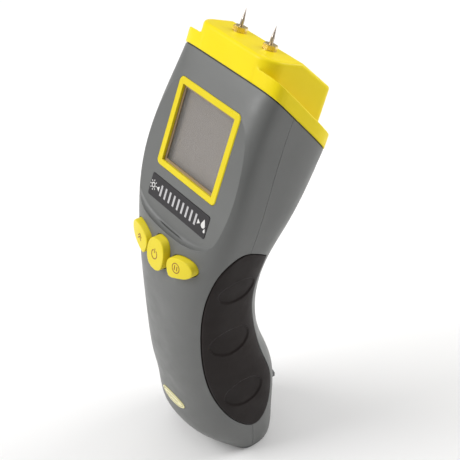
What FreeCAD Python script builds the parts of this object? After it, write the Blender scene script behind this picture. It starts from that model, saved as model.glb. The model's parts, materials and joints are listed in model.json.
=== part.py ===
import FreeCAD, Part
import Sketcher
import math
import os
import re

# Pin-type moisture meter that stands on its base.
# Frame: origin at the centre of the base, +Z up, display towards -Y, head leaning back.
# Two slanted frames are used: HEAD lies on the display panel, CELL follows the battery bay.

os.makedirs("parts", exist_ok=True)
doc = FreeCAD.newDocument("MoistureMeter")
sheet = doc.addObject("Spreadsheet::Sheet", "Sizes")

SIZES = {
    # head frame: centre of the display on the panel plane
    "head_y": -4.0, "head_z": 163.0, "head_lean": 22.5,
    # shell
    "wall": 2.4, "parting_gap": 0.12, "seam_level": 34.2, "seam_slope": 0.57,
    "floor": 3.0, "scoop": 2.4,
    # cap
    "flange_rise": 6.2, "plateau_half": 25.4, "plateau_front": 1.9, "plateau_rear": 41.0,
    "plateau_level": 44.9, "plateau_fold": 21.0, "plateau_low": 35.2, "plateau_corner": 9.0,
    "plateau_heel": 4.0,
    "gasket": 0.5, "skirt": 4.0,
    # display
    "bezel_width": 43.8, "bezel_height": 40.7, "bezel_proud": 0.35, "bezel_seat": 0.9,
    "window_width": 37.2, "window_height": 34.9, "bezel_corner": 2.4, "window_corner": 0.8,
    "skirt_width": 41.4, "skirt_height": 38.3, "bezel_depth": 3.0,
    "lens_width": 39.4, "lens_height": 36.9, "lens_thick": 1.4, "lens_back": 3.0,
    "lip_width": 35.0, "lip_height": 32.7, "lip_thick": 0.6,
    # bar scale
    "label_width": 43.6, "label_height": 10.2, "label_thick": 0.45, "label_corner": 1.0,
    "label_z": -30.2, "bar_width": 1.2, "bar_height": 5.0, "bar_pitch": 3.3,
    # electrodes
    "pin_x": 10.3, "pin_y": 14.0, "pin_tip": 55.4, "pin_radius": 0.8, "nut_across": 5.5,
    "nut_high": 2.2, "washer_radius": 3.1, "washer_top": 45.2, "nut_seat": 45.23,
    "socket_radius": 2.5,
    # keys
    "key_z": 115.0, "key_rise": 3.4, "side_rise": 2.7, "key_travel": 0.9, "key_gap": 0.35,
    # boards
    "board_width": 47.0, "board_height": 73.0, "board_thick": 1.6, "board_y": 8.6,
    "board_z": -9.5, "key_board_width": 36.0, "key_board_height": 19.4,
    # grips
    "grip_depth": 1.5, "grip_proud": 0.35, "groove": 0.4, "dimple": 0.6,
    # battery bay
    "cell_y": 2.2, "cell_z": 57.5, "cell_lean": -9.0, "cell_width": 26.5, "cell_deep": 17.5,
    "cell_tall": 46.0, "door_half": 18.4, "door_low": 22.8, "door_high": 88.0,
    "door_gap": 0.3, "door_thick": 2.2,
    "hinge_y": 13.2, "hinge_z": 88.3, "knuckle": 1.15, "hinge_bore": 0.5, "hinge_pin": 0.45,
    "latch_z": 29.5, "latch_half": 16.2,
    # base and fixings
    "foot_thick": 1.6, "foot_low": -7.0, "foot_high": 8.0, "screw_x": 26.6, "screw_z": 3.5,
    "low_screw_x": 19.0, "low_screw_z": 15.0,
}

# Sculpted body: spine point, lean of the section, half width, depth in front and behind,
# and the squareness of the front and rear halves.
STATION_KEYS = ("y", "z", "lean", "half", "front", "rear", "squaref", "squarer")
STATIONS = {
    "crown": (32.6, 204.0, 25.0, 32.9, 13.0, 32.0, 5.5, 4.2),
    "brow": (24.0, 185.6, 25.5, 33.2, 15.0, 34.6, 5.5, 4.2),
    "glass": (13.8, 165.5, 25.5, 34.1, 17.0, 33.6, 5.5, 3.8),
    "scale": (4.6, 145.6, 21.9, 35.9, 17.6, 30.2, 5.0, 3.4),
    "keys": (-2.0, 125.4, 14.7, 34.3, 19.5, 24.8, 3.8, 3.0),
    "throat": (-6.2, 104.0, 7.1, 30.1, 21.4, 21.6, 2.8, 2.6),
    "palm": (-7.5, 79.6, -0.7, 27.5, 21.9, 20.4, 2.5, 2.5),
    "waist": (-5.8, 58.5, -9.2, 27.4, 23.6, 21.7, 2.45, 2.5),
    "swell": (-2.0, 38.4, -7.7, 28.2, 25.0, 23.6, 2.4, 2.6),
    "heel": (-0.9, 24.0, -4.8, 28.0, 24.9, 22.2, 2.4, 2.6),
    "ankle": (0.0, 11.0, 0.0, 27.3, 21.4, 19.6, 2.4, 2.7),
    "sole": (0.0, 0.0, 0.0, 25.4, 9.6, 16.8, 2.2, 2.8),
}


def fill_sheet():
    row = 1
    entries = dict(SIZES)
    for name, values in STATIONS.items():
        for key, value in zip(STATION_KEYS, values):
            entries[name + "_" + key] = value
    for name, value in entries.items():
        sheet.set("A%d" % row, name)
        sheet.set("B%d" % row, repr(value))
        sheet.setAlias("B%d" % row, name)
        row += 1
    doc.recompute()


def size(name):
    return float(sheet.get(name))


fill_sheet()
V = FreeCAD.Vector
X_AXIS = V(1, 0, 0)
Y_AXIS = V(0, 1, 0)
Z_AXIS = V(0, 0, 1)
TINY = 0.02
NODES = []

HEAD = FreeCAD.Placement(V(0, size("head_y"), size("head_z")),
                         FreeCAD.Rotation(X_AXIS, -size("head_lean")))
CELL = FreeCAD.Placement(V(0, size("cell_y"), size("cell_z")),
                         FreeCAD.Rotation(X_AXIS, -size("cell_lean")))
ROW = FreeCAD.Placement()


def at(frame, x=0.0, y=0.0, z=0.0, turn=None):
    local = FreeCAD.Placement(V(x, y, z), turn or FreeCAD.Rotation())
    return frame.multiply(local)


def placed(shape, frame):
    copy = shape.copy()
    copy.Placement = frame.multiply(copy.Placement)
    return copy


# ---------------------------------------------------------------- sculpted solids

def section(name, inset):
    half = size(name + "_half") - inset
    front = size(name + "_front") - inset
    rear = size(name + "_rear") - inset
    lean = math.radians(size(name + "_lean"))
    count = 36
    points = []
    for step in range(count):
        angle = 2 * math.pi * step / count
        across = math.cos(angle)
        along = math.sin(angle)
        square = size(name + ("_squaref" if along < 0 else "_squarer"))
        reach = (abs(across) ** square + abs(along) ** square) ** (-1 / square)
        depth = reach * along * (front if along < 0 else rear)
        points.append(V(reach * across * half,
                        size(name + "_y") + depth * math.cos(lean),
                        size(name + "_z") - depth * math.sin(lean)))
    curve = Part.BSplineCurve()
    curve.interpolate(Points=points, PeriodicFlag=True,
                      Parameters=[float(i) for i in range(count + 1)])
    return Part.Wire([curve.toShape()])


SKINS = {}


def skin(inset):
    key = round(inset, 3)
    if key not in SKINS:
        wires = [section(name, inset) for name in reversed(list(STATIONS))]
        SKINS[key] = Part.makeLoft(wires, True, False)
    return SKINS[key]


def prism(points, direction, frame=ROW, smooth=False):
    if smooth:
        curve = Part.BSplineCurve()
        curve.interpolate(Points=points, PeriodicFlag=True)
        wire = Part.Wire([curve.toShape()])
    else:
        wire = Part.makePolygon(points + [points[0]])
    return placed(Part.Face(wire).extrude(direction), frame)


def box(x0, x1, y0, y1, z0, z1, frame=ROW):
    solid = Part.makeBox(x1 - x0, y1 - y0, z1 - z0, V(x0, y0, z0))
    return placed(solid, frame)


def rod(radius, length, start, direction=Z_AXIS, frame=ROW):
    return placed(Part.makeCylinder(radius, length, start, direction), frame)


def round_box(width, height, corner, y0, y1, frame, x=0.0, z=0.0):
    solid = Part.makeBox(width, y1 - y0, height, V(x - width / 2, y0, z - height / 2))
    edges = [e for e in solid.Edges if abs(e.tangentAt(e.FirstParameter).y) > 0.9]
    return placed(solid.makeFillet(corner, edges), frame)


def seam_side(above, shift=0.0):
    # everything above (or below) the slanted seam plane moved by shift along its normal
    slope = math.atan(size("seam_slope"))
    turn = FreeCAD.Rotation(X_AXIS, -math.degrees(slope))
    base = 0.0 if above else -300.0
    block = Part.makeBox(400, 400, 300, V(-200, -200, base + shift))
    return placed(placed(block, at(ROW, 0, 0, size("seam_level"), turn)), HEAD)


def parting_side(shift):
    # solid in front of the parting surface, which follows the spine of the stations
    names = list(STATIONS)
    points = [V(0, size(n + "_y") + shift, size(n + "_z")) for n in names]
    curve = Part.BSplineCurve()
    curve.interpolate(Points=points)
    high = points[0] + V(0, 14, 30)
    low = points[-1] + V(0, 0, -20)
    edges = [curve.toShape(), Part.makeLine(points[-1], low),
             Part.makeLine(low, V(0, -150, low.z)),
             Part.makeLine(V(0, -150, low.z), V(0, -150, high.z)),
             Part.makeLine(V(0, -150, high.z), high), Part.makeLine(high, points[0])]
    face = Part.Face(Part.Wire(Part.__sortEdges__(edges)))
    face.translate(V(-80, 0, 0))
    return face.extrude(V(160, 0, 0))


def shell_feature(label, shape, frame=ROW):
    feature = doc.addObject("Part::Feature", label)
    feature.Label = label
    feature.Shape = shape
    feature.Placement = frame
    NODES.append(feature)
    return feature


# panel plane: the crowned body is cut flat for the display, with a scooped lower lip
def panel_cutter():
    lip = [V(42, 0, -23), V(35.5, 0, -29), V(31.5, 0, -34.5), V(25, 0, -39.4),
           V(17.8, 0, -41.9), V(8, 0, -43.1), V(0, 0, -43.4)]
    lip += [V(-p.x, 0, p.z) for p in reversed(lip[:-1])]
    curve = Part.BSplineCurve()
    curve.interpolate(Points=lip)
    ends = [lip[0], V(60, 0, -10), V(60, 0, 90), V(-60, 0, 90), V(-60, 0, -10), lip[-1]]
    edges = [curve.toShape()]
    edges += [Part.makeLine(a, b) for a, b in zip(ends[:-1], ends[1:])]
    face = Part.Face(Part.Wire(Part.__sortEdges__(edges)))
    solid = face.extrude(V(0, -30, 0))
    rim = [e for e in solid.Edges
           if e.Length > 60 and abs(e.BoundBox.YMax) < 0.01 and e.BoundBox.ZMax < 0
           and e.BoundBox.YLength < 0.1]
    return placed(solid.makeFillet(size("scoop"), rim), HEAD)


PANEL = panel_cutter()
FRONT_SIDE = parting_side(0.0)
REAR_SIDE = parting_side(size("parting_gap"))


def cavity(inset):
    # hollow of the body; in the head it stays behind the flat panel
    hollow = skin(inset).common(box(-60, 60, -80, 120, size("floor"), 300))
    panel_zone = box(-60, 60, -40, 0, -42, 90, at(HEAD, 0, size("wall"), 0))
    return hollow.cut(panel_zone)


# ---------------------------------------------------------------- outlines

def grown(points, grow):
    # moves every point of a closed outline outwards along its local normal
    moved = []
    area = sum(a[0] * b[1] - b[0] * a[1] for a, b in zip(points, points[1:] + points[:1]))
    turn = 1.0 if area > 0 else -1.0
    for before, here, after in zip(points[-1:] + points[:-1], points, points[1:] + points[:1]):
        run, rise = after[0] - before[0], after[1] - before[1]
        length = math.hypot(run, rise)
        moved.append((here[0] + turn * grow * rise / length,
                      here[1] - turn * grow * run / length))
    return moved


def grip_outline(grow):
    # seen from the side: a long bean that follows the finger side of the handle
    spine = [(6.9, 116.6), (5.2, 107.5), (2.6, 96.0), (2.7, 84.0), (5.2, 70.0), (9.0, 53.5),
             (12.6, 39.0), (11.2, 29.5), (6.4, 19.8), (1.6, 17.2), (-5.4, 20.8),
             (-13.6, 31.0), (-19.0, 44.0), (-21.8, 60.0), (-22.3, 78.0), (-21.2, 95.0),
             (-18.0, 110.0), (-12.6, 120.0), (-6.6, 123.4), (0.6, 121.2)]
    spine = grown(spine, grow)
    curve = Part.BSplineCurve()
    curve.interpolate(Points=[V(0, y, z) for y, z in spine + [spine[0]]])
    return Part.Face(Part.Wire([curve.toShape()]))


def grip_prism(grow, side):
    solid = grip_outline(grow).extrude(V(70, 0, 0))
    solid.translate(V(3, 0, 0))
    return solid if side > 0 else solid.mirror(V(0, 0, 0), X_AXIS)


def ellipse_prism(y, z, a, b, lean, side):
    ellipse = Part.Ellipse(V(0, 0, 0), a, b)
    face = Part.Face(Part.Wire([ellipse.toShape()]))
    turn = FreeCAD.Rotation(V(0, 1, 0), V(0, 0, 1), V(1, 0, 0), "XYZ")
    face.Placement = FreeCAD.Placement(V(3, y, z), FreeCAD.Rotation(X_AXIS, lean).multiply(turn))
    solid = face.extrude(V(70, 0, 0))
    return solid if side > 0 else solid.mirror(V(0, 0, 0), X_AXIS)


def power_outline(grow):
    points = []
    for step in range(16):
        angle = 2 * math.pi * step / 16
        reach = (abs(math.cos(angle)) ** 2.5 + abs(math.sin(angle)) ** 2.5) ** -0.4
        points.append(V((6.2 + grow) * reach * math.cos(angle), -60,
                        size("key_z") + (7.1 + grow) * reach * math.sin(angle)))
    return prism(points, V(0, 50, 0), smooth=True)


def side_outline(grow, side):
    corners = [(8.3, 112.9), (8.8, 117.4), (12.8, 119.6), (18.4, 120.4), (22.4, 119.0),
               (23.4, 116.2), (21.4, 113.4), (15.6, 111.0), (10.0, 110.0)]
    corners = grown(corners, grow)
    return prism([V(side * x, -60, z) for x, z in corners], V(0, 50, 0), smooth=True)


def key_solid(outline, rise):
    # crowned cap outside the wall, stem through it and a flange behind it
    wall = size("wall")
    stem = outline(0.0).common(skin(-rise))
    stem = stem.cut(skin(wall + 1.3))
    lip = outline(0.8).common(skin(wall + 0.25)).cut(skin(wall + 1.3))
    return stem.fuse(lip)


# ---------------------------------------------------------------- shells

def screw_posts():
    # four case screws: position in the row frame, seat depth and direction along +Y
    x = size("screw_x")
    head = [at(HEAD, s * x, 0, size("screw_z")) for s in (-1, 1)]
    low = [at(ROW, s * size("low_screw_x"), 0, size("low_screw_z")) for s in (-1, 1)]
    return [(f, 15.6, 29.0) for f in head] + [(f, 0.2, 9.0) for f in low]


def build_shells():
    body = skin(0.0).cut(PANEL)
    body = body.common(seam_side(False))
    hollow = cavity(size("wall"))
    front = body.common(FRONT_SIDE).cut(hollow)
    rear = body.cut(REAR_SIDE).cut(hollow)
    solid_front = skin(1.0).common(FRONT_SIDE).cut(PANEL)
    solid_rear = skin(1.0).cut(REAR_SIDE)
    for frame, split, seat in screw_posts():
        tower = rod(3.4, 60, V(0, -30, 0), Y_AXIS, frame)
        front = front.fuse(tower.common(solid_front))
        front = front.cut(rod(1.25, 14.0, V(0, split - 9.0, 0), Y_AXIS, frame))
        well = rod(5.2, 60, V(0, seat - 2.2, 0), Y_AXIS, frame)
        neck = rod(3.4, 60, V(0, split - 20, 0), Y_AXIS, frame)
        rear = rear.fuse(well.common(solid_rear)).fuse(neck.common(solid_rear))
        rear = rear.cut(rod(3.6, 60, V(0, seat, 0), Y_AXIS, frame))
        rear = rear.cut(rod(1.7, 60, V(0, split - 4, 0), Y_AXIS, frame))
    front = front.common(seam_side(False))
    rear = rear.common(seam_side(False))
    for side in (-1, 1):
        bed = grip_prism(size("groove"), side).cut(skin(size("grip_depth")))
        front = front.cut(bed)
        rear = rear.cut(bed)
    for x in (-15, 15):
        hole = rod(1.25, 9.0, V(x, 0.5, -0.5))
        front = front.cut(hole)
        rear = rear.cut(hole)
    strip = box(-60, 60, size("foot_low") - 0.25, size("foot_high") + 0.25, -1,
                size("foot_thick") + 0.2)
    front = front.cut(strip)
    rear = rear.cut(strip)
    return front, rear


def board_posts():
    # screw posts of the front shell: frame, x, z, height of the board's front face
    main = size("board_y")
    posts = [(HEAD, x, z, main) for x in (-20.5, 20.5) for z in (24.2, -40.5)]
    return posts + [(ROW, x, 106.0, -17.6) for x in (-14.5, 14.5)]


def trim_front(front):
    inside = skin(1.0).cut(PANEL)
    for frame, x, z, level in board_posts():
        post = rod(2.0, 60, V(x, level - 60, z), Y_AXIS, frame).common(inside)
        front = front.fuse(post)
        front = front.cut(rod(1.0, 5.0, V(x, level - 5.0, z), Y_AXIS, frame))
    w, h = size("bezel_width") + 0.2, size("bezel_height") + 0.2
    front = front.cut(round_box(w, h, size("bezel_corner"), -4, size("bezel_seat"), HEAD))
    w, h = size("skirt_width") + 0.3, size("skirt_height") + 0.3
    front = front.cut(round_box(w, h, 0.1, -4, 9, HEAD))
    z = size("label_z")
    w, h = size("label_width") + 0.2, size("label_height") + 0.2
    front = front.cut(round_box(w, h, size("label_corner"), -4, 0.3, HEAD, 0, z))
    slot = 8 * size("bar_pitch") + size("bar_width") + 0.8
    front = front.cut(round_box(slot, size("bar_height") + 0.8, 0.5, -4, 6, HEAD, 0, z))
    gap = size("key_gap")
    front = front.cut(power_outline(gap))
    for side in (-1, 1):
        front = front.cut(side_outline(gap, side))
    front = front.cut(badge_prism(0.15).cut(skin(0.6)))
    return front


def badge_prism(grow):
    points = []
    for step in range(20):
        angle = 2 * math.pi * step / 20
        points.append(V((9.2 + grow) * math.cos(angle), -60,
                        29.0 + (3.1 + grow) * math.sin(angle)))
    return prism(points, V(0, 55, 0), smooth=True)


def door_prism(grow):
    half = size("door_half") + grow
    low, high = size("door_low") - grow, size("door_high") + grow
    slab = Part.makeBox(2 * half, 80, high - low, V(-half, 2, low))
    edges = [e for e in slab.Edges if abs(e.tangentAt(e.FirstParameter).y) > 0.9]
    return slab.makeFillet(5.0 + grow, edges)


def hinge_bar(radius, x0, x1):
    # round bar on the hinge line of the battery door
    return rod(radius, x1 - x0, V(x0, size("hinge_y"), size("hinge_z")), X_AXIS)


def rear_with_lugs(rear):
    # a lug on each side of the door's knuckle carries the hinge pin
    rear = rear.cut(door_prism(size("door_gap")))
    rear = rear.cut(hinge_bar(size("knuckle") + 0.3, -7.3, 7.3))
    for x in (-10.4, 7.4):
        rear = rear.fuse(hinge_bar(size("knuckle"), x, x + 3.0))
    return rear.cut(hinge_bar(size("hinge_bore"), -10.0, 10.0))


def door_with_knuckle():
    panel = door_prism(0.0).common(skin(0.0)).cut(skin(size("door_thick")))
    for x in (-10.8, 7.1):
        panel = panel.cut(hinge_bar(size("knuckle") + 0.3, x, x + 3.7))
    panel = panel.fuse(hinge_bar(size("knuckle"), -7.0, 7.0))
    return panel.cut(hinge_bar(size("hinge_bore"), -10.5, 10.5))


front_raw, rear_raw = build_shells()
shell_feature("front_shell", trim_front(front_raw))
shell_feature("rear_shell", rear_with_lugs(rear_raw))
door = door_with_knuckle()
slot = box(-size("latch_half") - 1.0, size("latch_half") + 1.0, 0, 80, size("latch_z") - 3.4,
           size("latch_z") + 5.0)
shell_feature("battery_door", door.cut(slot))

shell_feature("hinge_pin", hinge_bar(size("hinge_pin"), -9.9, 9.9))

# ---------------------------------------------------------------- sculpted trim

for side, hand in ((-1, "left"), (1, "right")):
    pad = grip_prism(0.0, side).common(skin(-size("grip_proud")))
    pad = pad.cut(skin(size("grip_depth") - 0.1))
    for y, z, a, b in ((-7.3, 103.2, 9.2, 5.8), (-10.0, 74.2, 9.9, 7.2), (-4.4, 41.3, 10.0, 7.2)):
        dish = ellipse_prism(y, z, a, b, 6.0, side)
        pad = pad.cut(dish.cut(skin(size("dimple") - size("grip_proud"))))
    shell_feature(hand + "_grip", pad)

shell_feature("power_key", key_solid(power_outline, size("key_rise")))
for side, label in ((-1, "mode_key"), (1, "hold_key")):
    def outline(grow, hand=side):
        return side_outline(grow, hand)
    shell_feature(label, key_solid(outline, size("side_rise")))

badge = badge_prism(0.0).common(skin(-0.3)).cut(skin(0.5))
shell_feature("badge_plate", badge)


def seam_band(low, high):
    # slab between two planes parallel to the seam, heights along its normal
    return seam_side(True, low).common(seam_side(False, high))


def plateau(shrink, drop):
    half = size("plateau_half") - shrink
    y0, y1 = size("plateau_front") + shrink, size("plateau_rear") - shrink
    top = size("plateau_level") - drop
    solid = Part.makeBox(2 * half, y1 - y0, 70, V(-half, y0, top - 70))
    posts = [e for e in solid.Edges if abs(e.tangentAt(e.FirstParameter).z) > 0.9]
    middle = (y0 + y1) / 2
    solid = solid.makeFillet(size("plateau_corner") - shrink,
                             [e for e in posts if e.BoundBox.YMax < middle])
    posts = [e for e in solid.Edges
             if abs(e.tangentAt(e.FirstParameter).z) > 0.9 and e.BoundBox.YMin > y1 - TINY]
    solid = solid.makeFillet(size("plateau_heel") - shrink, posts[:])
    fold = size("plateau_fold")
    slope = math.atan((size("plateau_level") - size("plateau_low"))
                      / (size("plateau_rear") - fold))
    turn = FreeCAD.Rotation(X_AXIS, -math.degrees(slope))
    wedge = placed(Part.makeBox(120, 80, 60, V(-60, 0, 0)), at(ROW, 0, fold, top, turn))
    return solid.cut(wedge)


def collar(inset, low, high):
    # seam outline of the body carried straight up along the head
    slope = math.atan(size("seam_slope"))
    normal = HEAD.Rotation.multVec(V(0, math.sin(slope), math.cos(slope)))
    base = HEAD.multVec(V(0, 0, size("seam_level")))
    outline = skin(inset).slice(normal, normal.dot(base))[0]
    rise = HEAD.Rotation.multVec(Z_AXIS)
    face = Part.Face(outline)
    face.translate(rise * -8)
    return face.extrude(rise * 40).common(seam_band(low, high))


def build_cap():
    low = size("gasket")
    rise = size("flange_rise")
    flange = collar(-0.25, low, rise)
    tower = plateau(0.0, 0.0)
    rounded = [e for e in tower.Edges if e.BoundBox.ZMin > size("plateau_low") - 8]
    try:
        tower = tower.makeFillet(1.4, rounded)
    except Exception:
        pass
    tower = placed(tower, HEAD).common(seam_side(True, low))
    cap = flange.fuse(tower)
    wall = size("wall")
    hollow = collar(wall, low - 1, rise - wall)
    hollow = hollow.fuse(placed(plateau(wall, wall), HEAD).common(seam_side(True, low - 1)))
    cap = cap.cut(hollow)
    skirt = skin(wall + 0.15).cut(skin(wall + 1.7)).common(seam_band(-size("skirt"), low + 1))
    ledge = skin(wall - 0.5).cut(skin(wall + 1.7)).common(seam_band(low, low + 2.0))
    skirt = skirt.fuse(ledge)
    for frame, split, seat in screw_posts()[:2]:
        skirt = skirt.cut(rod(6.0, 80, V(0, -5, 0), Y_AXIS, frame))
    cap = cap.fuse(skirt)
    for x in (-1, 1):
        hole = rod(size("socket_radius") + 0.05, 30, V(x * size("pin_x"), size("pin_y"), 30),
                   Z_AXIS, HEAD)
        cap = cap.cut(hole)
    return cap


shell_feature("head_cap", build_cap())
ring = skin(0.35).cut(skin(size("wall"))).common(seam_band(0.0, size("gasket")))
for frame, split, seat in screw_posts()[:2]:
    ring = ring.cut(rod(5.4, 80, V(0, -5, 0), Y_AXIS, frame))
shell_feature("head_gasket", ring)

foot = skin(0.1).common(box(-60, 60, size("foot_low"), size("foot_high"), 0,
                            size("foot_thick")))
for x in (-1, 1):
    foot = foot.cut(Part.makeCone(3.0, 1.35, size("foot_thick"), V(x * 15, 0.5, 0)))
shell_feature("base_foot", foot)

tray = box(-20.4, 20.4, -10.8, 40, -25.4, 30.4, CELL)
tray = tray.cut(box(-19.2, 19.2, -9.4, 60, -24.0, 29.0, CELL)).common(skin(size("wall") + 0.05))
tray = tray.cut(box(-6, 6, -14, 1.6, 24.0, 40, CELL))
mid = size("latch_z")
tray = tray.cut(box(-40, 40, 0, 60, mid - 10, mid + 8.4).cut(skin(4.2)))
shell_feature("battery_tray", tray)

pad = box(-9, 9, 0, 60, 44, 74).common(skin(size("door_thick") + 0.02)).cut(skin(4.0))
shell_feature("battery_pad", pad)

rear_level = size("swell_y") + size("swell_rear")
half = size("latch_half")
plate = box(-half - 1.6, half + 1.6, 0, 60, mid - 4.6, mid + 6.4)
plate = plate.common(skin(size("door_thick") + 0.15)).cut(skin(3.7))
fin = box(-half, half, 0, 60, mid - 2.4, mid + 2.4)
fin = fin.common(skin(-2.3)).cut(skin(size("door_thick") + 0.6))
slant = prism([V(-40, rear_level - 5.5, mid + 2.4), V(-40, rear_level + 2.6, mid - 1.2),
               V(-40, rear_level + 8, mid - 1.2), V(-40, rear_level + 8, mid + 9),
               V(-40, rear_level - 5.5, mid + 9)], V(80, 0, 0))
ramp = fin.cut(slant)
shell_feature("door_latch", plate.fuse(ramp))


def brick(spans, centre):
    # box from its spans and its centre
    corner = V(*[c - d / 2 for c, d in zip(centre, spans)])
    return Part.makeBox(spans[0], spans[1], spans[2], corner)


def joined(label, shapes, frame=ROW):
    return shell_feature(label, Part.makeCompound(shapes), frame)


joined("elastomer_strips", [brick((40.0, 3.3, 1.8), (0, 6.87, z)) for z in (-18.6, 18.6)], HEAD)

pitch, row_z = size("bar_pitch"), size("label_z")
joined("bar_leds", [brick((1.6, 0.8, 2.4), (i * pitch, 8.18, row_z)) for i in range(-4, 5)], HEAD)

switches = []
for x, tip, z in ((0, -20.75, 114.4), (-14, -20.0, 113.5), (14, -20.0, 113.5)):
    case = brick((5.0, 1.76, 5.0), (x, -18.52, z))
    switches.append(case.fuse(rod(1.2, -18.5 - tip, V(x, tip, z), Y_AXIS)))
joined("key_switches", switches)

leads = [brick((12.0, 1.4, 12.0), (0, 11.05, -6.0))]
for i in range(-4, 5):
    for side in (-1, 1):
        leads.append(brick((0.5, 0.5, 1.3), (i * 1.2, 10.5, -6.0 + side * 6.65)))
        leads.append(brick((1.3, 0.5, 0.5), (side * 6.65, 10.5, -6.0 + i * 1.2)))
joined("microcontroller", leads, HEAD)

CHIPS = ((-13, 14, 6, 5), (12, 16, 5, 6), (13, -20, 5, 4), (-2, 19, 3, 2), (3, 19, 3, 2),
         (0, -22, 4, 2), (0, -27, 4, 2), (16, 2, 2, 3), (-16, 2, 2, 3), (6, -36, 7, 5))
joined("board_chips", [brick((w, 1.2, h), (x, 10.82, z)) for x, z, w, h in CHIPS], HEAD)

# ---------------------------------------------------------------- bodies

def bound(text):
    return re.sub(r"[a-z][a-z_]*", lambda m: "Sizes." + m.group(0), str(text))


def new_body(label, frame):
    body = doc.addObject("PartDesign::Body", label)
    body.Label = label
    body.Placement = frame
    NODES.append(body)
    return body


COUNTER = [0]


def feature_name(stem):
    COUNTER[0] += 1
    return "%s%d" % (stem, COUNTER[0])


def block(body, spans, centre, cut=False):
    # box given by three spans and its centre, all bound to the sheet
    kind = "PartDesign::SubtractiveBox" if cut else "PartDesign::AdditiveBox"
    item = body.newObject(kind, feature_name("Slot" if cut else "Block"))
    for name, axis, span, mid_point in zip(("Length", "Width", "Height"), "xyz", spans, centre):
        item.setExpression(name, bound(span))
        item.setExpression("Placement.Base." + axis,
                           bound("(%s) - (%s) / 2" % (mid_point, span)))
    return item


def barrel(body, radius, length, start, axis="y", cut=False):
    # cylinder from a start point along +Y or +Z
    kind = "PartDesign::SubtractiveCylinder" if cut else "PartDesign::AdditiveCylinder"
    item = body.newObject(kind, feature_name("Bore" if cut else "Barrel"))
    item.setExpression("Radius", bound(radius))
    item.setExpression("Height", bound(length))
    if axis == "y":
        item.Placement.Rotation = FreeCAD.Rotation(X_AXIS, -90)
    for letter, value in zip("xyz", start):
        item.setExpression("Placement.Base." + letter, bound(value))
    return item


def soften(body, radius, chosen, kind="Fillet"):
    # rounds or bevels the edges for which chosen(edge) is true
    doc.recompute()
    base = body.Tip
    names = ["Edge%d" % (i + 1) for i, edge in enumerate(base.Shape.Edges) if chosen(edge)]
    item = body.newObject("PartDesign::" + kind, feature_name(kind))
    item.Base = (base, names)
    item.setExpression("Radius" if kind == "Fillet" else "Size", bound(radius))
    return item


def along(letter):
    return lambda edge: abs(getattr(edge.tangentAt(edge.FirstParameter), letter)) > 0.9


def turned(label, frame, profile):
    # revolved about the local Z axis; profile is a list of (radius, height) expressions
    body = new_body(label, frame)
    sketch = body.newObject("Sketcher::SketchObject", feature_name("Profile"))
    plane = [f for f in body.Origin.OriginFeatures if f.Role == "XZ_Plane"][0]
    sketch.AttachmentSupport = [(plane, "")]
    sketch.MapMode = "FlatFace"
    values = [(value_of(r), value_of(z)) for r, z in profile]
    count = len(values)
    for i in range(count):
        a, b = values[i], values[(i + 1) % count]
        sketch.addGeometry(Part.LineSegment(V(a[0], a[1], 0), V(b[0], b[1], 0)), False)
    for i in range(count):
        sketch.addConstraint(Sketcher.Constraint("Coincident", i, 2, (i + 1) % count, 1))
    for i, (r, z) in enumerate(profile):
        for kind, value, text in (("DistanceX", values[i][0], r), ("DistanceY", values[i][1], z)):
            index = sketch.addConstraint(Sketcher.Constraint(kind, -1, 1, i, 1, value))
            sketch.setExpression("Constraints[%d]" % index, bound(text))
    spin = body.newObject("PartDesign::Revolution", feature_name("Spin"))
    spin.Profile = sketch
    spin.ReferenceAxis = (sketch, ["V_Axis"])
    spin.Angle = 360
    return body


def value_of(entry):
    return size(entry) if isinstance(entry, str) else float(entry)


# display stack
bezel = new_body("display_bezel", HEAD)
block(bezel, ("bezel_width", "bezel_proud + bezel_seat", "bezel_height"),
      (0, "(bezel_seat - bezel_proud) / 2", 0))
soften(bezel, "bezel_corner", along("y"))
soften(bezel, 0.35, lambda e: e.BoundBox.YMax < -size("bezel_proud") + TINY, "Chamfer")
block(bezel, ("skirt_width", "bezel_depth - bezel_seat", "skirt_height"),
      (0, "(bezel_depth + bezel_seat) / 2", 0))
block(bezel, ("window_width", 8, "window_height"), (0, 0, 0), True)
block(bezel, ("lens_width + 0.1", 4, "lens_height + 0.1"),
      (0, "lens_back - lens_thick - lip_thick - 0.02 + 2", 0), True)

lens = new_body("display_lens", HEAD)
block(lens, ("lens_width", "lens_thick", "lens_height"), (0, "lens_back - lens_thick / 2", 0))
soften(lens, 0.6, along("y"))

lip = new_body("lens_gasket", HEAD)
block(lip, ("lens_width", "lip_thick - 0.03", "lens_height"),
      (0, "lens_back - lens_thick - lip_thick / 2", 0))
block(lip, ("lip_width", 3, "lip_height"), (0, "lens_back - lens_thick", 0), True)

label = new_body("scale_label", HEAD)
block(label, ("label_width", "label_thick", "label_height"),
      (0, "0.28 - label_thick / 2", "label_z"))
soften(label, "label_corner", along("y"))
for i in range(-4, 5):
    block(label, ("bar_width + 0.1", 3, "bar_height + 0.1"), ("%d * bar_pitch" % i, 0, "label_z"),
          True)

guide = new_body("light_guide", HEAD)
block(guide, (33, 1.4, 8.4), (0, 4.2, "label_z"))
for i in range(-4, 5):
    block(guide, ("bar_width", 3.75, "bar_height"), ("%d * bar_pitch" % i, 1.65, "label_z"))

glass = new_body("lcd_glass", HEAD)
block(glass, (41.6, 0.9, 36.4), (0, 3.85, 0.8))
block(glass, (41.6, 0.9, 39.6), (0, 4.75, 0))

carrier = new_body("lcd_frame", HEAD)
block(carrier, (45.2, 5.0, 43.0), (0, 6.0, 0))
block(carrier, (41.8, 12, 39.8), (0, 6.0, 0), True)
soften(carrier, 1.0, lambda e: along("y")(e) and abs(e.BoundBox.Center.x) > 22)

diffuser = new_body("backlight_diffuser", HEAD)
block(diffuser, (41.0, 1.8, 34.6), (0, 6.2, 0))
block(diffuser, (6.0, 1.4, 10.0), (0, 7.75, 0))

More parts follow.
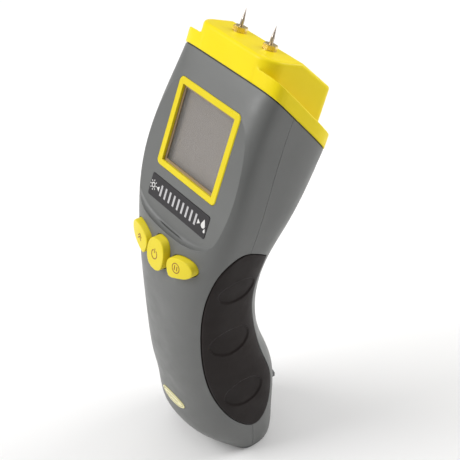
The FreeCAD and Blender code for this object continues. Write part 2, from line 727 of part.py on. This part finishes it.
board = new_body("main_board", HEAD)
block(board, ("board_width", "board_thick", "board_height"),
      (0, "board_y + board_thick / 2", "board_z"))
soften(board, 1.5, along("y"))
for x in (-1, 1):
    barrel(board, 4.0, 8, ("%d * screw_x" % x, 5, "screw_z"), "y", True)
    for z in (24.2, -40.5):
        barrel(board, 1.15, 8, (x * 20.5, 5, z), "y", True)

keys = new_body("key_board", ROW)
block(keys, ("key_board_width", 1.4, "key_board_height"), (0, -16.9, "key_z - 1.8"))
soften(keys, 1.2, along("y"))
for x in (-14.5, 14.5):
    barrel(keys, 1.15, 8, (x, -20, 106.0), "y", True)

crystal = new_body("crystal", HEAD)
block(crystal, (10.4, 3.4, 4.4), (-13.5, 11.92, -12.5))
soften(crystal, 1.6, along("x"))

buzzer = turned("buzzer", at(HEAD, -12.0, 10.22, -30.5, FreeCAD.Rotation(X_AXIS, -90)),
                [(0, 0), (6.0, 0), (6.0, 6.2), (5.4, 6.8), (1.2, 6.8), (1.2, 6.0), (0, 6.0)])

# electrodes
for side, hand in ((-1, "left"), (1, "right")):
    spot = at(HEAD, side * size("pin_x"), size("pin_y"), 0)
    turned(hand + "_pin", spot,
           [(0, 38.2), ("pin_radius", 38.2), ("pin_radius", 50.2), (0.62, 51.0),
            (0.3, 53.4), (0, "pin_tip")])
    turned(hand + "_socket", spot,
           [(0, 33.0), (2.0, 33.0), (2.0, 34.2), ("socket_radius", 34.6), ("socket_radius", 44.4),
            (2.0, 44.8), (2.0, 46.5), (0.84, 46.5), (0.84, 38.0), (0, 38.0)])
    turned(hand + "_washer", spot,
           [(2.06, "plateau_level"), ("washer_radius", "plateau_level"),
            ("washer_radius", "washer_top"), (2.06, "washer_top")])
    nut = new_body(hand + "_nut", spot)
    sketch = nut.newObject("Sketcher::SketchObject", hand + "_hexagon")
    plane = [f for f in nut.Origin.OriginFeatures if f.Role == "XY_Plane"][0]
    sketch.AttachmentSupport = [(plane, "")]
    sketch.MapMode = "FlatFace"
    sketch.setExpression("AttachmentOffset.Base.z", bound("nut_seat"))
    reach = size("nut_across") / math.sqrt(3)
    tips = [V(reach * math.cos(math.radians(60 * i)), reach * math.sin(math.radians(60 * i)), 0)
            for i in range(6)]
    for i in range(6):
        sketch.addGeometry(Part.LineSegment(tips[i], tips[(i + 1) % 6]), False)
    for i in range(6):
        sketch.addConstraint(Sketcher.Constraint("Coincident", i, 2, (i + 1) % 6, 1))
    sketch.addGeometry(Part.Circle(V(0, 0, 0), Z_AXIS, reach), True)
    for i in range(6):
        sketch.addConstraint(Sketcher.Constraint("PointOnObject", i, 1, 6))
    for i in range(5):
        sketch.addConstraint(Sketcher.Constraint("Equal", i, i + 1))
    sketch.addConstraint(Sketcher.Constraint("Coincident", 6, 3, -1, 1))
    sketch.addConstraint(Sketcher.Constraint("PointOnObject", 0, 1, -1))
    rim = sketch.addConstraint(Sketcher.Constraint("Radius", 6, reach))
    sketch.setExpression("Constraints[%d]" % rim, bound("nut_across / sqrt(3)").replace(
        "Sizes.sqrt", "sqrt"))
    pad = nut.newObject("PartDesign::Pad", hand + "_prism")
    pad.Profile = sketch
    pad.setExpression("Length", bound("nut_high"))
    soften(nut, 0.3, lambda e: e.BoundBox.ZMin > size("plateau_level") + 1.5, "Chamfer")
    barrel(nut, 2.05, 1.7, (0, 0, "plateau_level"), "z", True)
    barrel(nut, 0.86, 6, (0, 0, "plateau_level"), "z", True)

bridge = new_body("pin_carrier", HEAD)
block(bridge, (34.0, 12.0, 4.0), (0, "pin_y", 37.0))
soften(bridge, 2.0, along("z"))
for x in (-1, 1):
    barrel(bridge, "socket_radius + 0.03", 12, ("%d * pin_x" % x, "pin_y", 30), "z", True)

# battery
cell = new_body("battery", CELL)
block(cell, ("cell_width", "cell_deep", "cell_tall"), (0, 0, 0))
soften(cell, 2.0, along("z"))
barrel(cell, 2.9, 2.6, (-6.4, 0, "cell_tall / 2"), "z")
barrel(cell, 4.1, 2.6, (6.4, 0, "cell_tall / 2"), "z")
barrel(cell, 3.0, 2.0, (6.4, 0, "cell_tall / 2 + 1.2"), "z", True)

snap = new_body("snap_connector", CELL)
block(snap, (25.0, 12.0, 2.2), (0, 0, "cell_tall / 2 + 3.75"))
soften(snap, 2.5, along("z"))


def wire(points, radius, frame=ROW):
    curve = Part.BSplineCurve()
    curve.interpolate(Points=points)
    path = Part.Wire([curve.toShape()])
    start = curve.tangent(curve.FirstParameter)[0]
    ring_edge = Part.Circle(points[0], start, radius).toShape()
    tube = path.makePipeShell([Part.Wire([ring_edge])], True, True)
    return placed(tube, frame)


wires = []
for x in (-1, 1):
    wires.append(wire([V(x * 10.3, 14.0, 32.9), V(x * 10.3, 14.0, 31.4), V(x * 9.6, 14.0, 27.0),
                       V(x * 8.2, 13.6, 24.0), V(x * 8.0, 12.0, 23.3),
                       V(x * 8.0, 10.28, 23.2)], 0.7, HEAD))
joined("pin_wires", wires)

wires = []
for x in (-1, 1):
    wires.append(wire([V(x * 2.5, -2.6, 86.2), V(x * 2.5, -4.0, 92.0), V(x * 3.0, -5.6, 101.0),
                       V(x * 3.0, -5.9, 111.0), V(x * 3.0, -6.6, 117.6),
                       V(x * 3.0, -8.8, 119.7), V(x * 3.0, -10.49, 120.44)], 0.7))
joined("battery_wires", wires)


def pan_screw(shank, length, head, high):
    body = Part.makeCylinder(shank, length, V(0, 0, -length)).fuse(
        Part.makeCylinder(head, high, V(0, 0, 0)))
    rim_edges = [e for e in body.Edges if e.BoundBox.ZMin > high - TINY]
    body = body.makeFillet(high * 0.45, rim_edges)
    for turn in (0, 90):
        arm = Part.makeBox(head * 1.1, head * 0.26, high, V(-head * 0.55, -head * 0.13, high * 0.4))
        arm.rotate(V(0, 0, 0), Z_AXIS, turn)
        body = body.cut(arm)
    return body


def screws(label, shape, spots):
    # copies of one screw; each spot is a frame whose +Z leaves through the head
    return joined(label, [placed(shape, spot) for spot in spots])


OUT = FreeCAD.Rotation(X_AXIS, -90)
spots = [f.multiply(FreeCAD.Placement(V(0, seat + TINY, 0), OUT))
         for f, split, seat in screw_posts()[:2]]
low_spots = [f.multiply(FreeCAD.Placement(V(0, seat + TINY, 0), OUT))
             for f, split, seat in screw_posts()[2:]]
joined("case_screws",
       [placed(pan_screw(1.2, 21.0, 2.8, 1.9), spot) for spot in spots]
       + [placed(pan_screw(1.2, 16.0, 2.8, 1.9), spot) for spot in low_spots])

spots = [at(f, x, level + (1.62 if f is HEAD else 1.42), z, OUT)
         for f, x, z, level in board_posts()]
screws("board_screws", pan_screw(0.95, 4.6, 1.9, 1.2), spots)

flat = Part.makeCone(1.2, 2.85, 1.5, V(0, 0, -1.5)).fuse(
    Part.makeCylinder(1.2, 5.0, V(0, 0, -6.0)))
flat = flat.cut(Part.makeBox(4.4, 0.7, 0.6, V(-2.2, -0.35, -0.6)))
down = FreeCAD.Rotation(X_AXIS, 180)
screws("foot_screws", flat, [at(ROW, x * 15, 0.5, 0.02, down) for x in (-1, 1)])

# ---------------------------------------------------------------- output

doc.recompute()
for item in doc.Objects:
    if "Invalid" in item.State or "Error" in item.State:
        raise RuntimeError("%s: %s" % (item.Label, item.State))
for node in NODES:
    shape = node.Shape
    if shape.isNull() or not shape.isValid():
        raise RuntimeError("bad shape in " + node.Label)
    shape.exportStep("parts/" + node.Label + ".step")
print(len(NODES), "nodes")
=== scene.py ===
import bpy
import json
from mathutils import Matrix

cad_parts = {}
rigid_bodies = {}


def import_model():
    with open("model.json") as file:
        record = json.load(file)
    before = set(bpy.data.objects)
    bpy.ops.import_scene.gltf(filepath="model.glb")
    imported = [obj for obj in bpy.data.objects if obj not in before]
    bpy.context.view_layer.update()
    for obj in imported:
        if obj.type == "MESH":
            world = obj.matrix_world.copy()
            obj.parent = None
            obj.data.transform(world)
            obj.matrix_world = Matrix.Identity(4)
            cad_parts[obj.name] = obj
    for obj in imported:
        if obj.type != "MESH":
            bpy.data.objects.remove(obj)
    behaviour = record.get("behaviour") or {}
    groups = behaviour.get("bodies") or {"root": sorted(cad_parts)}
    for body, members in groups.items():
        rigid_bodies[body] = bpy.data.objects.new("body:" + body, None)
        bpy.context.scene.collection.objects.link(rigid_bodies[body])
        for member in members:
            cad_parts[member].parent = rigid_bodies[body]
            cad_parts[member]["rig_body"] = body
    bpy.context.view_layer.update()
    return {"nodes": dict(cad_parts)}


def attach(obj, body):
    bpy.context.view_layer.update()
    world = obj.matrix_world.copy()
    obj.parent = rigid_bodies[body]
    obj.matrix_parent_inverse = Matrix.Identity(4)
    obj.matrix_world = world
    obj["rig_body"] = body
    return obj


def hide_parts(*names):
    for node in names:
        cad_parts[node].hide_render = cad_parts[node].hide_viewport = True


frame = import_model()
import json
import math

import bmesh
import bpy
from mathutils import Matrix, Vector
from mathutils.bvhtree import BVHTree

# Pin moisture meter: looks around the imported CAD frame. Units are metres, +Z up.

MM = 0.001
LEAN = math.radians(22.5)
HEAD_ORIGIN = Vector((0.0, -4.0, 163.0)) * MM
HEAD = Matrix.Translation(HEAD_ORIGIN) @ Matrix.Rotation(-LEAN, 4, "X")
scene = bpy.context.scene
NODES = frame["nodes"]


def body_of_node(node):
    return NODES[node]["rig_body"]


# ---------------------------------------------------------------- materials

def new_material(name):
    mat = bpy.data.materials.new(name)
    mat.use_nodes = True
    tree = mat.node_tree
    shader = tree.nodes["Principled BSDF"]
    coords = tree.nodes.new("ShaderNodeTexCoord")
    return mat, tree, shader, coords


def noise(tree, coords, scale, detail=3.0, stretch=None):
    node = tree.nodes.new("ShaderNodeTexNoise")
    node.inputs["Scale"].default_value = scale
    node.inputs["Detail"].default_value = detail
    source = coords.outputs["Object"]
    if stretch:
        mapping = tree.nodes.new("ShaderNodeMapping")
        mapping.inputs["Scale"].default_value = stretch
        tree.links.new(source, mapping.inputs["Vector"])
        source = mapping.outputs["Vector"]
    tree.links.new(source, node.inputs["Vector"])
    return node


def ramp(tree, value, low, high, first, last):
    node = tree.nodes.new("ShaderNodeMapRange")
    for key, number in zip(("From Min", "From Max", "To Min", "To Max"), (low, high, first, last)):
        node.inputs[key].default_value = number
    tree.links.new(value, node.inputs["Value"])
    return node.outputs["Result"]


def blend_colour(tree, factor, first, second):
    node = tree.nodes.new("ShaderNodeMix")
    node.data_type = "RGBA"
    node.inputs["A"].default_value = (*first, 1.0)
    node.inputs["B"].default_value = (*second, 1.0)
    tree.links.new(factor, node.inputs["Factor"])
    return node.outputs["Result"]


def shade(colour, gain):
    return tuple(min(1.0, c * gain) for c in colour)


def add_bump(tree, shader, height, strength, distance, soft_edge=0.0):
    node = tree.nodes.new("ShaderNodeBump")
    node.inputs["Strength"].default_value = strength
    node.inputs["Distance"].default_value = distance
    tree.links.new(height, node.inputs["Height"])
    if soft_edge:
        rounder = tree.nodes.new("ShaderNodeBevel")
        rounder.samples = 6
        rounder.inputs["Radius"].default_value = soft_edge
        tree.links.new(rounder.outputs["Normal"], node.inputs["Normal"])
    tree.links.new(node.outputs["Normal"], shader.inputs["Normal"])


def moulded(name, colour, rough=0.45, grain=2600.0, depth=0.25, vary=0.05, wear=0.12,
            coat=0.0, soft_edge=0.0, sheen=0.0, specular=0.5):
    # moulded plastic or rubber: fine spark-eroded grain, cloudy tone, paler handled edges
    mat, tree, shader, coords = new_material(name)
    cloud = noise(tree, coords, 38.0, 4.0)
    fine = noise(tree, coords, grain, 2.0)
    tone = blend_colour(tree, ramp(tree, cloud.outputs["Fac"], 0.3, 0.7, 0.0, 1.0),
                        shade(colour, 1.0 - vary), shade(colour, 1.0 + vary))
    geometry = tree.nodes.new("ShaderNodeNewGeometry")
    edge = ramp(tree, geometry.outputs["Pointiness"], 0.51, 0.58, 0.0, wear)
    mix = tree.nodes.new("ShaderNodeMix")
    mix.data_type = "RGBA"
    mix.inputs["B"].default_value = (*shade(colour, 1.5), 1.0)
    tree.links.new(edge, mix.inputs["Factor"])
    tree.links.new(tone, mix.inputs["A"])
    tree.links.new(mix.outputs["Result"], shader.inputs["Base Color"])
    polish = noise(tree, coords, 140.0, 5.0)
    tree.links.new(ramp(tree, polish.outputs["Fac"], 0.3, 0.7, rough - 0.06, rough + 0.07),
                   shader.inputs["Roughness"])
    shader.inputs["Specular IOR Level"].default_value = specular
    shader.inputs["Coat Weight"].default_value = coat
    shader.inputs["Coat Roughness"].default_value = 0.12
    shader.inputs["Sheen Weight"].default_value = sheen
    add_bump(tree, shader, fine.outputs["Fac"], depth, 0.00006, soft_edge)
    return mat


def metal(name, colour, rough, stretch=(900.0, 900.0, 60.0), depth=0.15):
    # machined metal: fine turning marks, faint tarnish
    mat, tree, shader, coords = new_material(name)
    marks = noise(tree, coords, 3.0, 2.0, stretch)
    tarnish = noise(tree, coords, 420.0, 4.0)
    tone = blend_colour(tree, ramp(tree, tarnish.outputs["Fac"], 0.35, 0.75, 0.0, 1.0),
                        colour, shade(colour, 0.62))
    tree.links.new(tone, shader.inputs["Base Color"])
    tree.links.new(ramp(tree, marks.outputs["Fac"], 0.3, 0.7, rough - 0.05, rough + 0.1),
                   shader.inputs["Roughness"])
    shader.inputs["Metallic"].default_value = 1.0
    add_bump(tree, shader, marks.outputs["Fac"], depth, 0.00003)
    return mat


def clear(name, colour, alpha, rough):
    mat, tree, shader, coords = new_material(name)
    smear = noise(tree, coords, 60.0, 3.0)
    shader.inputs["Base Color"].default_value = (*colour, 1.0)
    shader.inputs["Alpha"].default_value = alpha
    tree.links.new(ramp(tree, smear.outputs["Fac"], 0.3, 0.7, rough, rough + 0.05),
                   shader.inputs["Roughness"])
    add_bump(tree, shader, smear.outputs["Fac"], 0.02, 0.00005)
    return mat


def liquid_crystal(name):
    # unlit display: warm grey with a slow change of tone and faint reflector grain
    mat, tree, shader, coords = new_material(name)
    slow = noise(tree, coords, 26.0, 1.0, (1.0, 1.0, 0.35))
    grain = noise(tree, coords, 3200.0, 2.0)
    tone = blend_colour(tree, ramp(tree, slow.outputs["Fac"], 0.35, 0.65, 0.0, 1.0),
                        (0.112, 0.094, 0.079), (0.146, 0.126, 0.108))
    tree.links.new(tone, shader.inputs["Base Color"])
    tree.links.new(ramp(tree, grain.outputs["Fac"], 0.3, 0.7, 0.32, 0.35),
                   shader.inputs["Roughness"])
    shader.inputs["Coat Weight"].default_value = 0.3
    shader.inputs["Coat Roughness"].default_value = 0.06
    add_bump(tree, shader, grain.outputs["Fac"], 0.012, 0.00002)
    return mat


GREY = (0.128, 0.131, 0.127)
YELLOW = (0.86, 0.68, 0.002)
M = {
    "shell": moulded("body_grey", GREY, 0.40, depth=0.3, vary=0.04, soft_edge=0.0004),
    "latch": moulded("latch_grey", (0.10, 0.105, 0.105), 0.45),
    "cap": moulded("cap_yellow", YELLOW, 0.42, 2200.0, 0.18, 0.03, 0.05, specular=0.25),
    "bezel": moulded("bezel_yellow", (0.74, 0.59, 0.01), 0.32, 2600.0, 0.1, 0.03, 0.1,
                     coat=0.1, soft_edge=0.0003, specular=0.3),
    "key": moulded("key_yellow", (0.76, 0.62, 0.02), 0.38, 2600.0, 0.14, 0.04, 0.08, specular=0.3),
    "badge": moulded("badge_yellow", (0.82, 0.76, 0.38), 0.25, 2600.0, 0.08, 0.05, 0.1, coat=0.6),
    "badge_ink": moulded("badge_ink", (0.34, 0.31, 0.17), 0.4),
    "rubber": moulded("grip_rubber", (0.0125, 0.0082, 0.0074), 0.5, 1900.0, 0.5, 0.12, 0.1,
                      specular=0.18),
    "gasket": moulded("seal_rubber", (0.012, 0.012, 0.012), 0.55),
    "lip": moulded("lens_seal", (0.30, 0.215, 0.13), 0.35),
    "label": moulded("label_black", (0.012, 0.010, 0.012), 0.35, 3000.0, 0.12, 0.1, 0.05),
    "guide": moulded("light_guide", (0.46, 0.45, 0.46), 0.28, 3000.0, 0.08, 0.05, 0.1, coat=0.4),
    "print": moulded("print_white", (0.66, 0.65, 0.64), 0.45, 3200.0, 0.1),
    "mark": moulded("print_brown", (0.27, 0.10, 0.006), 0.45, 3200.0, 0.1),
    "foot": moulded("foot_grey", (0.10, 0.104, 0.104), 0.6, 1500.0, 0.5),
    "dark": moulded("black_plastic", (0.02, 0.02, 0.021), 0.45),
    "tray": moulded("tray_grey", (0.09, 0.09, 0.09), 0.55),
    "foam": moulded("foam", (0.05, 0.05, 0.05), 0.85, 1400.0, 0.9),
    "board": moulded("solder_mask", (0.012, 0.11, 0.045), 0.3, 900.0, 0.25, 0.2, coat=0.4),
    "white": moulded("white_plastic", (0.62, 0.62, 0.60), 0.5),
    "diffuser": moulded("diffuser", (0.7, 0.7, 0.66), 0.6),
    "strip": moulded("elastomer", (0.2, 0.2, 0.24), 0.6, 1800.0, 0.4, 0.3),
    "led": moulded("led_epoxy", (0.75, 0.72, 0.5), 0.2, coat=0.6),
    "battery": moulded("battery_wrap", (0.05, 0.052, 0.058), 0.32, 800.0, 0.2, 0.1, coat=0.3),
    "red": moulded("wire_red", (0.42, 0.02, 0.015), 0.35),
    "black_wire": moulded("wire_black", (0.015, 0.015, 0.015), 0.35),
    "steel": metal("zinc_steel", (0.55, 0.55, 0.54), 0.32),
    "brass": metal("brass", (0.88, 0.68, 0.27), 0.24),
    "pin": metal("pin_steel", (0.56, 0.48, 0.41), 0.26, (1400.0, 1400.0, 80.0)),
    "lcd": liquid_crystal("lcd"),
    "lens": clear("clear_lens", (0.82, 0.79, 0.76), 0.12, 0.03),
}
LOOKS = {
    "shell": ("front_shell", "rear_shell", "battery_door"),
    "latch": ("door_latch",), "cap": ("head_cap",), "bezel": ("display_bezel",),
    "key": ("power_key", "mode_key", "hold_key"), "badge": ("badge_plate",),
    "rubber": ("left_grip", "right_grip"), "gasket": ("head_gasket",), "lip": ("lens_gasket",),
    "label": ("scale_label",), "guide": ("light_guide",), "foot": ("base_foot",),
    "dark": ("key_switches", "microcontroller", "board_chips", "buzzer", "pin_carrier",
             "snap_connector"),
    "tray": ("battery_tray",), "foam": ("battery_pad",), "board": ("main_board", "key_board"),
    "white": ("lcd_frame",), "diffuser": ("backlight_diffuser",), "strip": ("elastomer_strips",),
    "led": ("bar_leds",), "battery": ("battery",), "red": ("pin_wires",),
    "black_wire": ("battery_wires",),
    "steel": ("board_screws", "case_screws", "foot_screws", "crystal", "hinge_pin"),
    "brass": ("left_nut", "right_nut", "left_washer", "right_washer", "left_socket",
              "right_socket"),
    "pin": ("left_pin", "right_pin"), "lcd": ("lcd_glass",), "lens": ("display_lens",),
}

for look, members in LOOKS.items():
    for node in members:
        mesh = NODES[node].data
        mesh.materials.clear()
        mesh.materials.append(M[look])


# ---------------------------------------------------------------- softened mouldings

def softened(node, look, voxel, rounds):
    # the same solid with the small radii a moulding has on its edges
    mesh = NODES[node].data.copy()
    piece = bpy.data.objects.new(node + "_moulding", mesh)
    scene.collection.objects.link(piece)
    weld = bmesh.new()
    weld.from_mesh(mesh)
    bmesh.ops.remove_doubles(weld, verts=weld.verts, dist=0.002 * MM)
    weld.to_mesh(mesh)
    weld.free()
    remesh = piece.modifiers.new("remesh", "REMESH")
    remesh.mode = "VOXEL"
    remesh.voxel_size = voxel * MM
    remesh.use_smooth_shade = True
    smooth = piece.modifiers.new("smooth", "SMOOTH")
    smooth.factor = 0.5
    smooth.iterations = rounds
    bpy.context.view_layer.update()
    evaluated = piece.evaluated_get(bpy.context.evaluated_depsgraph_get())
    final = bpy.data.meshes.new_from_object(evaluated)
    piece.modifiers.clear()
    piece.data = final
    final.materials.clear()
    final.materials.append(M[look])
    for polygon in final.polygons:
        polygon.use_smooth = True
    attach(piece, body_of_node(node))
    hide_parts(node)
    return piece


RECIPES = {
    # node: look, voxel size in mm, rounds of smoothing
    "head_cap": ("cap", 0.34, 2),
    "power_key": ("key", 0.22, 10),
    "mode_key": ("key", 0.22, 12),
    "hold_key": ("key", 0.22, 12),
    "left_grip": ("rubber", 0.34, 2),
    "right_grip": ("rubber", 0.34, 2),
    "door_latch": ("latch", 0.3, 4),
}
SOFT = {node: softened(node, *recipe) for node, recipe in RECIPES.items()}


# ---------------------------------------------------------------- panel sill

SILL_WIDTH, SILL_LOW, SILL_HIGH = 30.0, -45.0, -41.6
SILL_BEHIND, SILL_THICK = 0.03, 0.2


def thin_plate(name, width, low, high, look, body):
    # plate in the plane of the display panel, a hair behind its face
    mesh = bmesh.new()
    bmesh.ops.create_cube(mesh, size=1.0)
    for vert in mesh.verts:
        x, y, z = vert.co
        vert.co = HEAD @ (Vector((x * width, SILL_BEHIND + (y + 0.5) * SILL_THICK,
                                  low + (z + 0.5) * (high - low))) * MM)
    data = bpy.data.meshes.new(name)
    mesh.to_mesh(data)
    mesh.free()
    data.materials.append(M[look])
    piece = bpy.data.objects.new(name, data)
    scene.collection.objects.link(piece)
    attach(piece, body)
    return piece


# closes the narrow opening that the hollow leaves at the foot of the panel
thin_plate("panel_sill", SILL_WIDTH, SILL_LOW, SILL_HIGH, "shell", "case")


# ---------------------------------------------------------------- printed marks

def stroke(points, widths):
    # band of the given widths along a line; both are lists of the same length
    left, right = [], []
    last = len(points) - 1
    for i, (x, y) in enumerate(points):
        a, b = points[max(0, i - 1)], points[min(last, i + 1)]
        run, rise = b[0] - a[0], b[1] - a[1]
        length = math.hypot(run, rise) or 1.0
        across = (-rise / length * widths[i] / 2, run / length * widths[i] / 2)
        left.append((x + across[0], y + across[1]))
        right.append((x - across[0], y - across[1]))
    return left, right


def line(x0, y0, x1, y1, w0, w1=None, steps=8):
    w1 = w0 if w1 is None else w1
    ts = [i / steps for i in range(steps + 1)]
    return stroke([(x0 + (x1 - x0) * t, y0 + (y1 - y0) * t) for t in ts],
                  [w0 + (w1 - w0) * t for t in ts])


def arc(x, y, radius, start, stop, width, steps=28):
    angles = [math.radians(start + (stop - start) * i / steps) for i in range(steps + 1)]
    return stroke([(x + radius * math.cos(a), y + radius * math.sin(a)) for a in angles],
                  [width] * (steps + 1))


def drop(x, y, size, steps=20):
    # filled water drop: widens from its point, then closes in a round belly
    top, tall, wide, belly_at, flare = 0.62, 1.12, 0.78, 0.66, 0.85
    points, widths = [], []
    for i in range(steps + 1):
        t = i / steps
        points.append((x, y + size * (top - tall * t)))
        round_off = max(0.0, (t - belly_at) / (1 - belly_at))
        close = math.sqrt(max(0.0, 1 - round_off ** 2))
        widths.append(size * wide * min(1.0, t ** flare / 0.7) * close)
    return stroke(points, widths)


INK_SUNK = 0.02


def marks(name, strokes, place, look, body, thick=0.05):
    # place(u, v) gives the point on the surface and the direction out of it, in metres
    mesh = bmesh.new()
    for left, right in strokes:
        rows = []
        for a, b in zip(left, right):
            row = []
            for u, v in (a, b):
                point, out = place(u * MM, v * MM)
                row.append((mesh.verts.new(point + out * thick * MM),
                            mesh.verts.new(point - out * INK_SUNK * MM)))
            rows.append(row)
        for first, second in zip(rows[:-1], rows[1:]):
            (a, al), (b, bl) = first
            (c, cl), (d, dl) = second
            for quad in ((a, c, d, b), (a, al, cl, c), (b, d, dl, bl)):
                mesh.faces.new(quad)
        for (a, al), (b, bl) in (rows[0], rows[-1]):
            mesh.faces.new((a, b, bl, al))
    bmesh.ops.recalc_face_normals(mesh, faces=mesh.faces)
    data = bpy.data.meshes.new(name)
    mesh.to_mesh(data)
    mesh.free()
    data.materials.append(M[look])
    piece = bpy.data.objects.new(name, data)
    scene.collection.objects.link(piece)
    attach(piece, body)
    return piece


def head_plane(level):
    out = (HEAD.to_3x3() @ Vector((0, -1, 0))).normalized()

    def place(u, v):
        return HEAD @ Vector((u, level * MM, v)), out
    return place


IN_FRONT = -90.0


def on_surface(piece, x, z):
    # wraps a flat symbol on the front of a moulding: u to the right, v up
    tree = BVHTree.FromObject(piece, bpy.context.evaluated_depsgraph_get())

    def place(u, v):
        start = Vector((x * MM + u, IN_FRONT * MM, z * MM + v))
        hit, normal = tree.ray_cast(start, Vector((0, 1, 0)))[:2]
        if hit is None:
            raise RuntimeError("symbol misses " + piece.name)
        return hit, normal
    return place


# the label: an arrow at each end of the bars, a sun for dry and drops for wet
LABEL_Z, LABEL_INK = -30.2, 0.04
ARROW_FOOT, ARROW_TIP, ARROW_WIDTH, TIP_WIDTH = 14.9, 16.7, 2.3, 0.02
DROP_X = 18.9
SUN_X, SUN_DISC, RAY_START, RAY_END = -19.4, 1.0, 1.65, 2.4
label_face = head_plane(-0.17)


def sun():
    strokes = [arc(SUN_X, LABEL_Z, SUN_DISC, 0, 360, 0.5)]
    for i in range(8):
        angle = math.radians(45 * i)
        across, along = math.cos(angle), math.sin(angle)
        strokes.append(line(SUN_X + RAY_START * across, LABEL_Z + RAY_START * along,
                            SUN_X + RAY_END * across, LABEL_Z + RAY_END * along, 0.45))
    return strokes


marks("label_arrows",
      [line(side * ARROW_FOOT, LABEL_Z, side * ARROW_TIP, LABEL_Z, ARROW_WIDTH, TIP_WIDTH)
       for side in (-1, 1)],
      label_face, "print", "case", LABEL_INK)
marks("label_wet_symbol",
      [drop(DROP_X, LABEL_Z + 0.5, 3.6), drop(DROP_X + 1.6, LABEL_Z - 1.9, 1.7)],
      label_face, "print", "case", LABEL_INK)
marks("label_dry_symbol", sun(), label_face, "print", "case", LABEL_INK)

# the keys: power, pause and a double chevron
POWER_X, POWER_Z = -0.3, 114.9
SIDE_KEY_X, HOLD_Z, MODE_Z = 14.4, 115.6, 115.8
KEY_INK, BAR_INK, RING_INK = 0.5, 0.55, 0.42


def chevron(foot, peak):
    reach = 1.6
    return [line(-reach, foot, 0, peak, KEY_INK), line(0, peak, reach, foot, KEY_INK)]


marks("power_symbol",
      [arc(0, 0, 2.0, -245, 65, KEY_INK), line(0, 0.6, 0, 2.7, KEY_INK)],
      on_surface(SOFT["power_key"], POWER_X, POWER_Z), "mark", "power")
marks("hold_symbol",
      [line(x, -1.1, x, 1.1, BAR_INK) for x in (-0.75, 0.75)] + [arc(0, 0, 2.2, 0, 360, RING_INK)],
      on_surface(SOFT["hold_key"], SIDE_KEY_X, HOLD_Z), "mark", "hold")
marks("mode_symbol",
      chevron(-0.4, 1.1) + chevron(-1.7, -0.2),
      on_surface(SOFT["mode_key"], -SIDE_KEY_X, MODE_Z), "mark", "mode")


def oval(x, z, a, b, width, steps=44):
    angles = [2 * math.pi * i / steps for i in range(steps + 1)]
    points = [(x + a * math.cos(t), z + b * math.sin(t)) for t in angles]
    left, right = stroke(points, [width] * (steps + 1))
    left[0] = left[-1] = (points[0][0] - width / 2, z)
    right[0] = right[-1] = (points[0][0] + width / 2, z)
    return left, right


BADGE_Z, RIM_HALF_WIDTH, RIM_HALF_HEIGHT, DASH = 29.0, 8.1, 2.2, 4.6
marks("badge_rim",
      [oval(0, 0, RIM_HALF_WIDTH, RIM_HALF_HEIGHT, 0.3), line(-DASH, 0, DASH, 0, 0.42, steps=24)],
      on_surface(NODES["badge_plate"], 0.0, BADGE_Z), "badge_ink", "case")


# ---------------------------------------------------------------- studio

def stage_material(name, colour, rough):
    mat, tree, shader, coords = new_material(name)
    speck = noise(tree, coords, 9.0, 3.0)
    tone = blend_colour(tree, speck.outputs["Fac"], shade(colour, 0.995), shade(colour, 1.005))
    tree.links.new(tone, shader.inputs["Base Color"])
    shader.inputs["Roughness"].default_value = rough
    return mat


FLOOR_SIZE = 8.0
bpy.ops.mesh.primitive_plane_add(size=FLOOR_SIZE, location=(0.0, 0.0, 0.0))
floor = bpy.context.object
floor.name = "studio_floor"
floor.data.materials.append(stage_material("studio_floor", (0.93, 0.925, 0.92), 0.9))


AIM = Vector((0.0, 0.0, 0.11))
LAMPS = (
    # name, place and size in metres, power in watts
    ("key_light", (-0.60, -1.00, 1.00), (0.9, 0.9), 16.0),
    ("fill_light", (0.95, -0.55, 0.55), (0.8, 0.8), 0.2),
    ("rim_light", (0.30, 1.00, 0.60), (0.7, 0.9), 8.0),
    ("top_light", (-0.30, 0.10, 1.3), (1.2, 1.2), 5.0),
)
WORLD_STRENGTH = 0.34


def area_light(name, place, size, power):
    data = bpy.data.lights.new(name, "AREA")
    data.shape = "RECTANGLE"
    data.size, data.size_y = size
    data.energy = power
    lamp = bpy.data.objects.new(name, data)
    scene.collection.objects.link(lamp)
    lamp.location = place
    lamp.rotation_euler = (AIM - Vector(place)).to_track_quat("-Z", "Y").to_euler()


for lamp_settings in LAMPS:
    area_light(*lamp_settings)

world = bpy.data.worlds.new("studio")
world.use_nodes = True
world.node_tree.nodes["Background"].inputs["Color"].default_value = (1.0, 1.0, 1.0, 1.0)
world.node_tree.nodes["Background"].inputs["Strength"].default_value = WORLD_STRENGTH
scene.world = world
scene.view_settings.view_transform = "Standard"

# three-quarter view from above, on the display's side
EYE = (0.3602, -0.2294, 0.4263)
VIEW_RIGHT = Vector((0.5749, 0.8175, -0.0354)).normalized()
VIEW_UP = Vector((-0.4664, 0.3630, 0.8067)).normalized()
VIEW_BACK = VIEW_RIGHT.cross(VIEW_UP).normalized()
VIEW_AXES = Matrix((VIEW_RIGHT, VIEW_BACK.cross(VIEW_RIGHT), VIEW_BACK)).transposed()
SENSOR, LENS = 36.0, 93.913

camera = bpy.data.cameras.new("view")
camera.sensor_width = SENSOR
camera.lens = LENS
camera.clip_start = 0.02
camera.clip_end = 30.0
eye = bpy.data.objects.new("view", camera)
scene.collection.objects.link(eye)
eye.matrix_world = Matrix.Translation(EYE) @ VIEW_AXES.to_4x4()
scene.camera = eye
